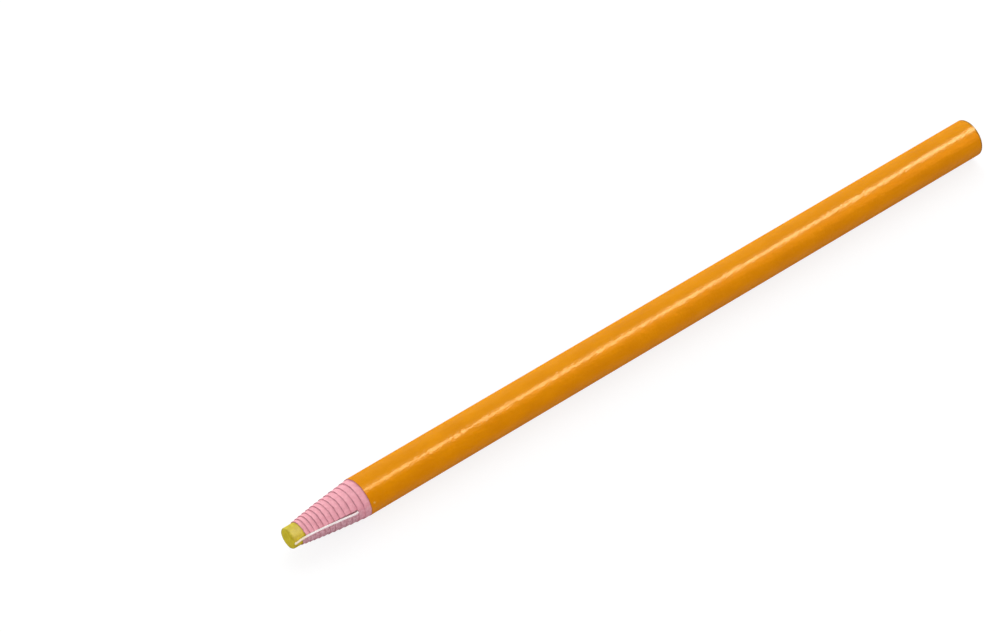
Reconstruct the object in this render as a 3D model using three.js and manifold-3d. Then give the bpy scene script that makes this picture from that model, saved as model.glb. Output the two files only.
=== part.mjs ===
// Tailor's chalk pencil of the peel-off kind: a round chalk core, a paper sheet wound round it in thin turns,
// a pull string under the paper, and a lacquer coat. Millimetres, +Z up. The pencil lies along X on its lowest
// facet, tip towards -X, and the origin is under the middle of its length.
import * as THREE from 'three';
import { mergeVertices } from 'three/addons/utils/BufferGeometryUtils.js';
import Module from 'manifold-3d';

const wasm = await Module();
wasm.setup();

// Overall sizes. Angles are in degrees round the axis, from the top (+Z) over the -Y side.
const pencilLength = 170;
const barrelDiameter = 8;
const coreDiameter = 4.3;
const tipRounding = 0.3;
const facetCount = 32;

// Paper sheet. Its front edge is cut on a slant, so every turn starts further back than the one below it.
const turnCount = 13;
const edgeSetback = 1.85;    // from the tip to the sheet's front corner, at the seam
const edgeSlope = 0.057;     // setback of the slanted edge for each millimetre wound round the core
const seamAngle = 69;        // the line along which the string lies and slits the turns
const jogAngle = 25;         // where each turn climbs over its own start, just before the seam

// Lacquer coat on the outermost turn
const coatThickness = 0.05;
const lapAngle = 220;        // where the coated layer ends, on the side away from the string
const lapRamp = 2;

// Pull string
const stringDiameter = 0.4;
const stringSides = 10;
const slitTurns = 11;        // turns that are already slit, in front of the string's root
const rootSetback = 0.4;     // from the first whole turn's edge to the string's root
const tailEndSetback = 0.3;  // from the tip to the string's free end
const tailSink = 0.05;       // how deep the tail lies in the slit

// Clearances
const layerGap = 0.02;       // between neighbouring layers
const seamGap = 0.04;        // between the end of one turn and the start of the next
const slitGap = 0.05;        // on each side of the string in its slit
const rootGap = 0.05;        // between the held string and its tail
const chalkGap = 0.03;       // between the tail and the chalk
const cutMargin = 1;         // how far a cutting box runs past what it cuts

const barrelRadius = barrelDiameter / 2;
const coreRadius = coreDiameter / 2;
const stringRadius = stringDiameter / 2;
const slitHalfWidth = stringRadius + slitGap;
const paperThickness = (barrelRadius - coatThickness - coreRadius) / turnCount;
const axisHeight = barrelRadius * Math.cos(Math.PI / facetCount);
const rad = THREE.MathUtils.degToRad;
const deg = THREE.MathUtils.radToDeg;

const materials = {
  chalk: new THREE.MeshStandardMaterial({ color: 0xcdbb2e, roughness: 0.75, metalness: 0 }),
  paper: new THREE.MeshStandardMaterial({ color: 0xeca6b8, roughness: 0.9, metalness: 0 }),
  lacquer: new THREE.MeshStandardMaterial({ color: 0xee980f, roughness: 0.3, metalness: 0 }),
  string: new THREE.MeshStandardMaterial({ color: 0xf8f2ea, roughness: 0.8, metalness: 0 }),
};

// The sheet after a number of turns from its inner end: its inner radius, and where its front edge has got to
const layerRadius = (turns) => coreRadius + turns * paperThickness;
const edgeStation = (turns) =>
  edgeSetback + edgeSlope * 2 * Math.PI * (coreRadius * turns + paperThickness * turns ** 2 / 2);
const turnsPastSeam = (angle) => (angle - seamAngle) / 360;

// Each turn steps up by one thickness of paper before the seam, and has done so where the string's slit starts
const jogStart = seamAngle + 360 - jogAngle;
const jogEnd = seamAngle + 360 - deg(Math.asin(slitHalfWidth / coreRadius));
const jogLift = (angle) => THREE.MathUtils.clamp((angle - jogStart) / (jogEnd - jogStart), 0, 1);

// The angles at which a wall has its corners: both ends, the facet corners between them, and any others
function cornerAngles(from, to, others = []) {
  const step = 360 / facetCount;
  const angles = [from, to, ...others];
  for (let facet = Math.ceil(from / step - 0.5); (facet + 0.5) * step < to; facet++) {
    if ((facet + 0.5) * step > from) angles.push((facet + 0.5) * step);
  }
  return angles.sort((a, b) => a - b);
}

const cornerAt = (station, radius, angle) =>
  [station, -radius * Math.sin(rad(angle)), radius * Math.cos(rad(angle))];

// A wall round the axis, from its front edge to the rear end of the pencil. Inner, outer and front are
// functions of the angle. A closed wall joins its last corner angle to its first.
function wallGeometry(angles, inner, outer, front, closed) {
  const corners = angles.flatMap((angle) => [
    cornerAt(front(angle), inner(angle), angle),
    cornerAt(front(angle), outer(angle), angle),
    cornerAt(pencilLength, outer(angle), angle),
    cornerAt(pencilLength, inner(angle), angle),
  ]);
  const index = [];
  const strips = closed ? angles.length : angles.length - 1;
  for (let strip = 0; strip < strips; strip++) {
    const here = 4 * strip;
    const next = 4 * ((strip + 1) % angles.length);
    for (let side = 0; side < 4; side++) {
      const other = (side + 1) % 4;
      index.push(here + side, next + other, here + other, here + side, next + side, next + other);
    }
  }
  if (!closed) {
    const last = 4 * (angles.length - 1);
    index.push(0, 1, 2, 0, 2, 3, last, last + 2, last + 1, last, last + 3, last + 2);
  }
  return indexedGeometry(corners, index);
}

function indexedGeometry(corners, index) {
  const geometry = new THREE.BufferGeometry();
  geometry.setAttribute('position', new THREE.Float32BufferAttribute(corners.flat(), 3));
  geometry.setIndex(index);
  return geometry;
}

function solidFrom(geometry) {
  const bare = geometry.clone();
  bare.deleteAttribute('normal');
  bare.deleteAttribute('uv');
  const merged = mergeVertices(bare);
  const vertProperties = new Float32Array(merged.attributes.position.array);
  const triVerts = new Uint32Array(merged.index.array);
  return new wasm.Manifold(new wasm.Mesh({ numProp: 3, vertProperties, triVerts }));
}

function geometryFrom(solid) {
  const { vertProperties, triVerts } = solid.getMesh();
  const geometry = new THREE.BufferGeometry();
  geometry.setAttribute('position', new THREE.BufferAttribute(vertProperties, 3));
  geometry.setIndex(new THREE.BufferAttribute(triVerts, 1));
  return geometry;
}

// One half of the string's way through the paper: a box from in front of the tip back to a station, to one side
// of the seam. Side is 1 where the turns start and -1 where they end.
function wayBox(rearStation, side) {
  const length = rearStation + cutMargin;
  const height = barrelRadius + cutMargin;
  const box = new THREE.BoxGeometry(length, slitHalfWidth, height);
  box.translate(rearStation - length / 2, -side * slitHalfWidth / 2, height / 2);
  return solidFrom(box.rotateX(rad(seamAngle)));
}

// Radii and stations of the string: it lies on the core, turns outwards at the rear of the slit, and its tail
// starts just above the paper
const channelTurns = Math.ceil(2 * slitHalfWidth / paperThickness);
const stringHeight = coreRadius + slitGap + stringRadius;
const rootHeight = layerRadius(slitTurns) + stringRadius - tailSink;
const rootStation = edgeStation(slitTurns) - rootSetback;
const stubTop = rootHeight - stringRadius - rootGap;
const climbRadius = stubTop - stringHeight;
const slitRear = rootStation + climbRadius + slitGap;

// How far back the string's way cuts a layer: the whole length beside the string, the slit above it
function wayReach(layer) {
  if (layer <= channelTurns) return pencilLength + cutMargin;
  return layer <= slitTurns ? slitRear : 0;
}

function chalkCore() {
  const profile = [new THREE.Vector2(0, 0)];
  for (let angle = 0; angle <= 90; angle += 30) {
    profile.push(new THREE.Vector2(
      coreRadius - tipRounding * (1 - Math.sin(rad(angle))), tipRounding * (1 - Math.cos(rad(angle)))));
  }
  profile.push(new THREE.Vector2(coreRadius, pencilLength), new THREE.Vector2(0, pencilLength));
  const geometry = new THREE.LatheGeometry(profile, facetCount, Math.PI / facetCount);
  return new THREE.Mesh(geometry.rotateZ(-Math.PI / 2), materials.chalk);
}

// The last turn stops where it would climb, so that the outside stays round
function paperTurn(turn) {
  const seamHalfAngle = deg(Math.asin(seamGap / 2 / coreRadius));
  const start = seamAngle + seamHalfAngle;
  const geometry = turn < turnCount
    ? turnWall(turn, cornerAngles(start, seamAngle + 360 - seamHalfAngle, [jogStart, jogEnd]))
    : turnWall(turn, cornerAngles(start, jogStart));
  let solid = solidFrom(geometry);
  if (wayReach(turn) > 0) solid = solid.subtract(wayBox(wayReach(turn), 1));
  if (wayReach(turn + 1) > 0) solid = solid.subtract(wayBox(wayReach(turn + 1), -1));
  return new THREE.Mesh(geometryFrom(solid), materials.paper);
}

function turnWall(turn, angles) {
  return wallGeometry(
    angles,
    (angle) => layerRadius(turn - 1 + jogLift(angle)) + layerGap / 2,
    (angle) => layerRadius(turn + jogLift(angle)) - layerGap / 2,
    (angle) => edgeStation(turn - 1 + turnsPastSeam(angle)),
    false,
  );
}

// The coat's front edge goes on along the same slant as the sheet's, and steps back once, at the lap
function barrelCoat() {
  const geometry = wallGeometry(
    cornerAngles(lapAngle + lapRamp - 360, lapAngle),
    () => layerRadius(turnCount) + layerGap / 2,
    () => barrelRadius,
    (angle) => edgeStation(turnCount + turnsPastSeam(angle)),
    true,
  );
  return new THREE.Mesh(geometry, materials.lacquer);
}

// A round thread along stations in the XZ plane. Each has a centre, the direction of the thread and a radius.
function threadGeometry(stations) {
  const sideways = new THREE.Vector3(0, 1, 0);
  const corners = stations.flatMap(({ centre, direction, radius }) => {
    const upwards = new THREE.Vector3().crossVectors(direction, sideways).normalize();
    return Array.from({ length: stringSides }, (_, side) => {
      const around = 2 * Math.PI * side / stringSides;
      return centre.clone()
        .addScaledVector(sideways, radius * Math.cos(around))
        .addScaledVector(upwards, -radius * Math.sin(around))
        .toArray();
    });
  });
  const index = [];
  for (let ring = 0; ring < stations.length - 1; ring++) {
    for (let side = 0; side < stringSides; side++) {
      const here = ring * stringSides + side;
      const next = ring * stringSides + (side + 1) % stringSides;
      index.push(here, next + stringSides, next, here, here + stringSides, next + stringSides);
    }
  }
  const last = (stations.length - 1) * stringSides;
  for (let side = 1; side < stringSides - 1; side++) {
    index.push(0, side, side + 1, last, last + side + 1, last + side);
  }
  return indexedGeometry(corners, index);
}

// The held string: straight along the core, then a quarter circle up to just under its root
function pullString() {
  const stations = [{ station: pencilLength, turn: 0 }];
  for (let turn = 0; turn <= 90; turn += 15) {
    stations.push({ station: rootStation + climbRadius * (1 - Math.sin(rad(turn))), turn });
  }
  const geometry = threadGeometry(stations.map(({ station, turn }) => ({
    centre: new THREE.Vector3(station, 0, stringHeight + climbRadius * (1 - Math.cos(rad(turn)))),
    direction: new THREE.Vector3(-Math.cos(rad(turn)), 0, Math.sin(rad(turn))),
    radius: stringRadius,
  })));
  return new THREE.Mesh(geometry, materials.string);
}

// The tail, from its root at the origin of its own mesh: a round end, then down the cone and onto the chalk
function pullStringTail() {
  const root = new THREE.Vector3(rootStation, 0, rootHeight);
  const points = [root];
  for (let turns = slitTurns - 1; turns >= 0; turns -= 2) {
    points.push(new THREE.Vector3(edgeStation(turns), 0, layerRadius(turns + 1) + stringRadius - tailSink));
  }
  points.push(new THREE.Vector3(tailEndSetback, 0, coreRadius + chalkGap + stringRadius));
  const curve = new THREE.CatmullRomCurve3(points.map((point) => point.clone().sub(root)));
  const stations = [];
  for (const angle of [75, 50, 25]) {
    const direction = curve.getTangentAt(0);
    const centre = direction.clone().multiplyScalar(-stringRadius * Math.sin(rad(angle)));
    stations.push({ centre, direction, radius: stringRadius * Math.cos(rad(angle)) });
  }
  const steps = 2 * points.length;
  for (let step = 0; step <= steps; step++) {
    const along = step / steps;
    stations.push({ centre: curve.getPointAt(along), direction: curve.getTangentAt(along), radius: stringRadius });
  }
  const tail = new THREE.Mesh(threadGeometry(stations), materials.string);
  tail.position.copy(root);
  return tail;
}

// The pencil's own frame starts at its tip, on its axis. The string's frame is that one turned to the seam.
const group = new THREE.Group();
const pencil = new THREE.Group();
pencil.position.set(-pencilLength / 2, 0, axisHeight);
group.add(pencil);
const seam = new THREE.Group();
seam.rotation.x = rad(seamAngle);
pencil.add(seam);

function addNode(parent, name, mesh) {
  mesh.name = name;
  parent.add(mesh);
}

addNode(pencil, 'chalk_core', chalkCore());
for (let turn = 1; turn <= turnCount; turn++) {
  addNode(pencil, `paper_turn_${String(turn).padStart(2, '0')}`, paperTurn(turn));
}
addNode(pencil, 'barrel_coat', barrelCoat());
addNode(seam, 'pull_string', pullString());
addNode(seam, 'pull_string_tail', pullStringTail());

export default group;
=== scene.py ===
# %% [markdown]
# A tailor's chalk pencil of the peel-off kind
#
# The pencil is a round stick of waxy chalk in a long sheet of pink paper, wound 13 times round it and
# painted orange. The sheet's front edge is cut on a slant, so the turns end one behind the other and make
# a stepped cone. A white thread lies under the paper. It slits the turns when it is pulled, and its free
# end lies on the cone.
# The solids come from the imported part. This script gives them their fine shapes, finishes and light.

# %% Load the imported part
import math

import bmesh
import bpy
from mathutils import Matrix, Vector, noise


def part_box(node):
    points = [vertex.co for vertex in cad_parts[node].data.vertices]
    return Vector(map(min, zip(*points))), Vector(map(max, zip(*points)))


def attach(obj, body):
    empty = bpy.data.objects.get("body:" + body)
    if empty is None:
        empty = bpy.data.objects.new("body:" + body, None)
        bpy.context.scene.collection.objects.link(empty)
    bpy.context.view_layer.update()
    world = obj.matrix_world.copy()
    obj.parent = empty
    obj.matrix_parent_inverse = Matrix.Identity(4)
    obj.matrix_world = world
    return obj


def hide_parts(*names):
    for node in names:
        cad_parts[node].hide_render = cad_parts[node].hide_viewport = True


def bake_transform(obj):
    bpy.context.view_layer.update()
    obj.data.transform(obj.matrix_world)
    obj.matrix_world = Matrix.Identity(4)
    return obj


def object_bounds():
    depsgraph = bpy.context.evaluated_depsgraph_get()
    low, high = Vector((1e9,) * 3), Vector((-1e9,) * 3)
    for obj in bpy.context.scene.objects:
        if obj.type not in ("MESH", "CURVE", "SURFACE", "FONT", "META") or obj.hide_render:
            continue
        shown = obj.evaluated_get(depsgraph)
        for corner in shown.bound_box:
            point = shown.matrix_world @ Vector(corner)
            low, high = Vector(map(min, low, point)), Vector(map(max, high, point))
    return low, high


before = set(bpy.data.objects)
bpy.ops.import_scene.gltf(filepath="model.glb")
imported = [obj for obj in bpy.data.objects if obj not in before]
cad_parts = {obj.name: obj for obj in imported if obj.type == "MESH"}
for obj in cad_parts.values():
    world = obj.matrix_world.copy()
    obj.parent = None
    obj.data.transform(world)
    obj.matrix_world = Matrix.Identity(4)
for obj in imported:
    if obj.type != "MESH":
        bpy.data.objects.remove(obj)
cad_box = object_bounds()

print("CAD box", cad_box)

# %% [markdown]
# Sizes
#
# Blender works in metres, and the pencil's sizes are easier to read in millimetres, so one factor turns
# them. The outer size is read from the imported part, whose round pieces have 32 flat sides. The fine
# pieces are truly round, and they are drawn to touch those flats, so that the barrel rests on the floor.
# The middle of a flat lies a little nearer to the axis than its corners do, by the factor flat_share.
# Every turn of paper starts at the seam, where the thread lies. It climbs by one thickness on a short jog,
# just before it comes round to the seam again.

# %% Outer size of the barrel
MM = 0.001
full_turn = 2 * math.pi
corner_radius = 4 * MM
coat_low, coat_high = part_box("barrel_coat")
core_low, core_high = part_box("chalk_core")
axis_height = (coat_low[2] + coat_high[2]) / 2
barrel_radius = (coat_high[2] - coat_low[2]) / 2
tip_x = core_low[0]
pencil_length = core_high[0] - core_low[0]
rear_x = tip_x + pencil_length
flat_share = barrel_radius / corner_radius
print("barrel radius", round(barrel_radius / MM, 3), "mm, length", round(pencil_length / MM, 2), "mm")

# %% How the sheet is wound
turn_count = 13
core_radius = 2.15 * MM * flat_share
coat_thickness = 0.05 * MM * flat_share
paper_thickness = (barrel_radius - coat_thickness - core_radius) / turn_count
layer_gap = 0.02 * MM
edge_setback = 1.85 * MM
edge_slope = 0.057
seam_angle = math.radians(69)
jog_angle = math.radians(25)
jog_rest = 0.1
print("paper", round(paper_thickness / MM, 4), "mm thick")

# %% [markdown]
# A place on the pencil is named by its station, which is the distance from the tip, by its radius, and by
# its angle round the axis, from the top over the side that faces the camera. Two rules say where a turn
# of paper lies: the radius grows by one thickness a turn, and the slanted front edge moves back by a fixed
# share of the length that has been wound.

# %% Places on the pencil
def place(station, radius, angle):
    """The point in metres at a station, a radius and an angle."""
    return Vector((tip_x + station, -radius * math.sin(angle), axis_height + radius * math.cos(angle)))


def layer_radius(turns):
    """The inner radius of the sheet after a number of turns."""
    return core_radius + turns * paper_thickness


def edge_station(turns):
    """Where the sheet's front edge has got to after a number of turns."""
    core, thickness = core_radius / flat_share, paper_thickness / flat_share
    return edge_setback + edge_slope * full_turn * (core * turns + thickness * turns ** 2 / 2)


print("front edges", [round(edge_station(turn) / MM, 2) for turn in range(turn_count + 1)])

# %% [markdown]
# Camera
#
# The camera stands where the photograph was taken from: above the tip's side, looking along the pencil,
# with a long lens. It could be set by eye, but then small errors in shape would hide behind errors in the
# view. So its values come from fitting a camera to the pencil's outline and to the rings of its cone.

# %% Camera
camera_data = bpy.data.cameras.new("camera")
camera_data.lens = 130.203
camera_data.sensor_width = 36
camera_data.sensor_fit = "HORIZONTAL"
camera_data.clip_start = 0.05
camera_data.clip_end = 50
camera = bpy.data.objects.new("camera", camera_data)
camera.location = (-0.320968, -0.355215, 0.497482)
looking_at = Vector((-0.020276, 0.020127, 0.004047))
camera.rotation_euler = (looking_at - camera.location).to_track_quat("-Z", "Y").to_euler()
bpy.context.collection.objects.link(camera)
bpy.context.scene.camera = camera
print("camera", round((looking_at - camera.location).length, 2), "m away")

# %% [markdown]
# Materials and fine shapes are both built from nodes here, because a tree of nodes can be read and changed
# later. Written out, a node takes several lines, so one function adds a node of any kind. It takes the
# node's kind, what goes into its sockets, and its settings. What goes into a socket is a plain value,
# another node, or one output of another node. Five kinds come back again and again, so they get short
# names. A Range node turns one range of values into another. A Mix node of two colours takes the share in
# socket 0 and the colours in sockets 6 and 7, and gives the mixed colour in output 2.

# %% Adding a node of any kind
def put(tree, kind, inputs=None, **settings):
    """Add one node with its settings, and fill its inputs with values or with links."""
    node = tree.nodes.new(kind)
    for name, value in settings.items():
        setattr(node, name, value)
    for socket, value in (inputs or {}).items():
        for source in value if isinstance(value, list) else [value]:
            if isinstance(source, bpy.types.Node):
                source = source.outputs[0]
            if isinstance(source, bpy.types.NodeSocket):
                tree.links.new(source, node.inputs[socket])
            else:
                node.inputs[socket].default_value = source
    return node


MATH = "ShaderNodeMath"
VECTOR = "ShaderNodeVectorMath"
RANGE = "ShaderNodeMapRange"
NOISE = "ShaderNodeTexNoise"
MIX = "ShaderNodeMix"

# %% Colours
def srgb(code):
    """Turn a hex colour into the linear values that Blender's sockets take."""
    written = [int(code[start:start + 2], 16) / 255 for start in (0, 2, 4)]
    return (*[c / 12.92 if c <= 0.04045 else ((c + 0.055) / 1.055) ** 2.4 for c in written], 1.0)


print("a middle grey of 808080 is", round(srgb("808080")[0], 3), "in linear values")


# %% The start and the end of a material
def new_material(name, **shader_values):
    """A material with plain values on its shader, its tree, and the place of each point on the part."""
    material = bpy.data.materials.new(name)
    material.use_nodes = True
    tree = material.node_tree
    shader = tree.nodes["Principled BSDF"]
    for socket, value in shader_values.items():
        shader.inputs[socket.replace("_", " ")].default_value = value
    return material, tree, put(tree, "ShaderNodeTexCoord").outputs["Object"]


def dress(material, colour, height, strength, depth, gloss=None):
    """Link a colour, a fine relief and, where there is one, a gloss to the material's shader."""
    tree = material.node_tree
    shader = tree.nodes["Principled BSDF"]
    relief = put(tree, "ShaderNodeBump", {"Height": height, "Strength": strength, "Distance": depth})
    links = {"Base Color": colour, "Normal": relief.outputs[0], "Specular IOR Level": gloss}
    for socket, source in links.items():
        if source is not None:
            tree.links.new(source, shader.inputs[socket])
    print(material.name, len(tree.nodes), "nodes")


# %% [markdown]
# Chalk
#
# Tailor's chalk in a pencil is pigment bound with wax. It is dull, a little greasy, and rubbed smooth where
# it marks the cloth. Its worn rim is painted dark grey-green, partly as dirt and partly as painted shade.
# One flat colour would look like plastic, and a picture of chalk would show a seam, so noises do it: a fine
# one gives the grain, and a broad one the cloudy colour. The dark rim is the product of three masks: it lies
# near the tip, near the rim, and thicker on the side that is turned down, which is painted shade. Real chalk
# grains are a few hundredths of a millimetre, too fine to show, so they are drawn 0.12 mm wide.

# %% Chalk: wax-bound pigment, moulded and worn
chalk, tree, where = new_material("wax_bound_chalk", Roughness=0.7, IOR=1.45, Specular_IOR_Level=0.3)
dark_rim_full, dark_rim_gone, dark_rim_ragged = 0.25 * MM, 0.6 * MM, 0.3 * MM
rim_inside, rim_outside = core_radius - 0.35 * MM, core_radius - 0.1 * MM
up_side = (0.0, -0.64, 0.77)
cloud = put(tree, NOISE, {"Vector": where, "Scale": 1 / (1.1 * MM), "Detail": 3})
cloudy = put(tree, RANGE, {"Value": cloud, "From Min": 0.35, "From Max": 0.65})
body = put(tree, MIX, {0: cloudy, 6: srgb("C9B51C"), 7: srgb("DAC92A")}, data_type="RGBA").outputs[2]
axes = put(tree, "ShaderNodeSeparateXYZ", {0: where})
rim_noise = put(tree, NOISE, {"Vector": where, "Scale": 1 / (0.5 * MM), "Detail": 2})
reach = put(tree, MATH, {0: rim_noise, 1: dark_rim_ragged, 2: axes.outputs["X"]}, operation="MULTIPLY_ADD")
near_tip = put(tree, RANGE, {"Value": reach, "From Min": tip_x + dark_rim_full, "From Max": tip_x + dark_rim_gone,
                             "To Min": 1.0, "To Max": 0.0}, interpolation_type="SMOOTHSTEP")
off_axis = put(tree, VECTOR, {0: where, 1: (0.0, 0.0, axis_height)}, operation="SUBTRACT")
across = put(tree, VECTOR, {0: off_axis, 1: (0.0, 1.0, 1.0)}, operation="MULTIPLY")
off_middle = put(tree, VECTOR, {0: across}, operation="LENGTH").outputs["Value"]
near_side = put(tree, RANGE, {"Value": off_middle, "From Min": rim_inside, "From Max": rim_outside,
                              "To Min": 0.05, "To Max": 0.75}, interpolation_type="SMOOTHSTEP")
upper_side = put(tree, VECTOR, {0: across, 1: up_side}, operation="DOT_PRODUCT").outputs["Value"]
# Painted shade: the dark rim colour is laid on more thickly on the side that is turned down.
lower_side_shade = put(tree, RANGE, {"Value": upper_side, "From Min": -1.2 * MM, "From Max": 1.0 * MM,
                                 "To Min": 1.0, "To Max": 0.3}, interpolation_type="SMOOTHSTEP")
# The dark grey-green rim colour is part dirt and part painted shade.
tip_rim_mask = put(tree, MATH, {0: near_tip, 1: near_side}, operation="MULTIPLY")
rim = put(tree, MATH, {0: tip_rim_mask, 1: lower_side_shade}, operation="MULTIPLY")
dirt_and_shade_rim = put(tree, MIX, {0: rim, 6: body, 7: srgb("8E8746")}, data_type="RGBA").outputs[2]
grain = put(tree, NOISE, {"Vector": where, "Scale": 1 / (0.12 * MM), "Detail": 4, "Roughness": 0.6})
dress(chalk, dirt_and_shade_rim, grain, strength=0.5, depth=0.02 * MM)

# %% [markdown]
# Paper
#
# The sheet is thin uncoated paper, dyed pink, with short fibres that show as paler specks. Each step of
# the cone shows a dark line where the paper was cut. The fibres stand up at the cut and hold glue and dust,
# and the line is also painted shade of the step. Below the thread, where the paper turns away from the
# light, it is painted greyer and mottled as painted shade, and its lines fade there. Lines painted at fixed
# distances from the tip would cut across the slanted steps. So every turn carries four values from its
# shape: how far back from its cut edge a point lies, how far round from the slit, how far before the next
# turn's edge, and how far through the sheet. The lines, the painted shade below the thread and before each
# step, and the layers on the rear end then follow the winding wherever it goes. Real fibres are a few
# hundredths of a millimetre, so the specks, at 0.28 mm, are drawn as clumps of them.

# %% Paper: uncoated, dyed in the pulp, cut with a blade
paper, tree, where = new_material("dyed_uncoated_paper", Roughness=0.88, Specular_IOR_Level=0.2)
blotch = put(tree, NOISE, {"Vector": where, "Scale": 1 / (0.9 * MM), "Detail": 3, "Roughness": 0.6})
blotchy = put(tree, RANGE, {"Value": blotch, "From Min": 0.35, "From Max": 0.65})
sheet = put(tree, MIX, {0: blotchy, 6: srgb("EFA4B1"), 7: srgb("FAB3C0")}, data_type="RGBA").outputs[2]
speck = put(tree, NOISE, {"Vector": where, "Scale": 1 / (0.28 * MM), "Detail": 2, "Roughness": 0.7})
specks = put(tree, RANGE, {"Value": speck, "From Min": 0.52, "From Max": 0.7, "To Max": 0.45})
speckled = put(tree, MIX, {0: specks, 6: sheet, 7: srgb("FFCBD2")}, data_type="RGBA").outputs[2]
print("nodes so far", len(tree.nodes))

# %% Paper: painted shade below the thread, where the paper turns away from the light
underside_full, underside_fades, underside_gone = 0.5 * MM, 3 * MM, 6 * MM
underside_fade_from, underside_fade_to = tip_x + 12.5 * MM, tip_x + 14.5 * MM
# Painted shade: below the thread the paper turns away from the light, so it is painted greyer and mottled,
# and the lines and step shade fade there.
slit_side = put(tree, "ShaderNodeAttribute", attribute_name="slit_side").outputs["Fac"]
underside_in = put(tree, RANGE, {"Value": slit_side, "From Min": 0.0, "From Max": underside_full},
             interpolation_type="SMOOTHSTEP")
underside_out = put(tree, RANGE, {"Value": slit_side, "From Min": underside_fades, "From Max": underside_gone,
                               "To Min": 1.0, "To Max": 0.0}, interpolation_type="SMOOTHSTEP")
underside_zone = put(tree, MATH, {0: underside_in, 1: underside_out}, operation="MULTIPLY")
underside_mottle = put(tree, NOISE, {"Vector": where, "Scale": 1 / (0.45 * MM), "Detail": 3, "Roughness": 0.65})
underside_mottles = put(tree, RANGE, {"Value": underside_mottle, "From Min": 0.38, "From Max": 0.6})
underside_shade_tone = put(tree, MIX, {0: underside_mottles, 6: srgb("B78E97"), 7: srgb("E0C5CB")}, data_type="RGBA").outputs[2]
place_x = put(tree, "ShaderNodeSeparateXYZ", {0: where})
by_barrel = put(tree, RANGE, {"Value": place_x, "From Min": underside_fade_from, "From Max": underside_fade_to,
                              "To Min": 0.65, "To Max": 0.25}, interpolation_type="SMOOTHSTEP")
underside_shade_share = put(tree, MATH, {0: underside_zone, 1: by_barrel}, operation="MULTIPLY")
underside_shaded = put(tree, MIX, {0: underside_shade_share, 6: speckled, 7: underside_shade_tone}, data_type="RGBA").outputs[2]
off_underside = put(tree, MATH, {0: underside_zone, 1: -0.7, 2: 1.0}, operation="MULTIPLY_ADD")
print("nodes so far", len(tree.nodes))

# %% Paper: painted shade before the next step, and the dark line on each cut
shade_full, shade_gone, shade_ragged = -0.15 * MM, 0.1 * MM, -0.4 * MM
line_full, line_gone, line_ragged = -0.02 * MM, 0.06 * MM, -0.2 * MM
# Painted shade on the lower layer, just before the next turn's cut edge.
next_edge = put(tree, "ShaderNodeAttribute", attribute_name="next_edge").outputs["Fac"]
edge_noise = put(tree, NOISE, {"Vector": where, "Scale": 1 / (0.6 * MM), "Detail": 2})
shade_reach = put(tree, MATH, {0: edge_noise, 1: shade_ragged, 2: next_edge}, operation="MULTIPLY_ADD")
shaded = put(tree, RANGE, {"Value": shade_reach, "From Min": shade_full, "From Max": shade_gone,
                           "To Min": 0.35, "To Max": 0.0}, interpolation_type="SMOOTHSTEP")
step_shade_share = put(tree, MATH, {0: shaded, 1: off_underside}, operation="MULTIPLY")
step_shaded = put(tree, MIX, {0: step_shade_share, 6: underside_shaded, 7: srgb("C78693")}, data_type="RGBA").outputs[2]
# The dark line on each cut is part glue and dust, part painted shade of the step.
edge_depth = put(tree, "ShaderNodeAttribute", attribute_name="edge_depth").outputs["Fac"]
edge_width = put(tree, MATH, {0: edge_noise, 1: line_ragged, 2: edge_depth}, operation="MULTIPLY_ADD")
cut = put(tree, RANGE, {"Value": edge_width, "From Min": line_full, "From Max": line_gone,
                        "To Min": 1.0, "To Max": 0.0}, interpolation_type="SMOOTHSTEP")
line_noise = put(tree, NOISE, {"Vector": where, "Scale": 1 / (0.8 * MM), "Detail": 2, "Roughness": 0.6})
line_tone = put(tree, RANGE, {"Value": line_noise, "From Min": 0.36, "From Max": 0.62,
                              "To Min": 0.2, "To Max": 0.8})
line_share = put(tree, MATH, {0: cut, 1: line_tone}, operation="MULTIPLY")
cut_line_share = put(tree, MATH, {0: line_share, 1: off_underside}, operation="MULTIPLY")
cut_lined = put(tree, MIX, {0: cut_line_share, 6: step_shaded, 7: srgb("BA7684")}, data_type="RGBA").outputs[2]
print("nodes so far", len(tree.nodes))

# %% Paper: the layers on the rear end, and the fibres
rear_skin = 0.01 * MM
through = put(tree, "ShaderNodeAttribute", attribute_name="through").outputs["Fac"]
off_skin = put(tree, MATH, {0: through, 1: 0.5}, operation="PINGPONG")
layer_line = put(tree, RANGE, {"Value": off_skin, "From Min": 0.05, "From Max": 0.3,
                               "To Min": 1.0, "To Max": 0.0}, interpolation_type="SMOOTHSTEP")
rear_cut = put(tree, RANGE, {"Value": place_x,
                             "From Min": rear_x - rear_skin, "From Max": rear_x - rear_skin / 2})
rear_line = put(tree, MATH, {0: layer_line, 1: rear_cut}, operation="MULTIPLY")
rear_share = put(tree, MATH, {0: rear_line, 1: line_tone}, operation="MULTIPLY")
layered = put(tree, MIX, {0: rear_share, 6: cut_lined, 7: srgb("9A5B6B")}, data_type="RGBA").outputs[2]
fibre = put(tree, NOISE, {"Vector": where, "Scale": 1 / (0.1 * MM), "Detail": 3, "Roughness": 0.6})
dress(paper, layered, fibre, strength=0.4, depth=0.015 * MM)

# %% [markdown]
# Lacquer
#
# The barrel is dipped in glossy orange lacquer. It is smooth but not flat: it follows the wound paper
# under it, so the light along the barrel wavers a little. The film is thin at its cut edge and looks
# browner there. A few specks of dust are caught in it, and it has one pale nick near the cone. Waves in the
# shape would need millions of faces, so the relief comes from two noises. The finer waves are drawn about
# half a millimetre wide and twice as long, because the real ones are too fine to show. The warm tint
# belongs to the reflection. A Layer Weight node makes the gloss weaker towards the outline, so that the
# white room doesn't turn the barrel's edges pale.

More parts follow.
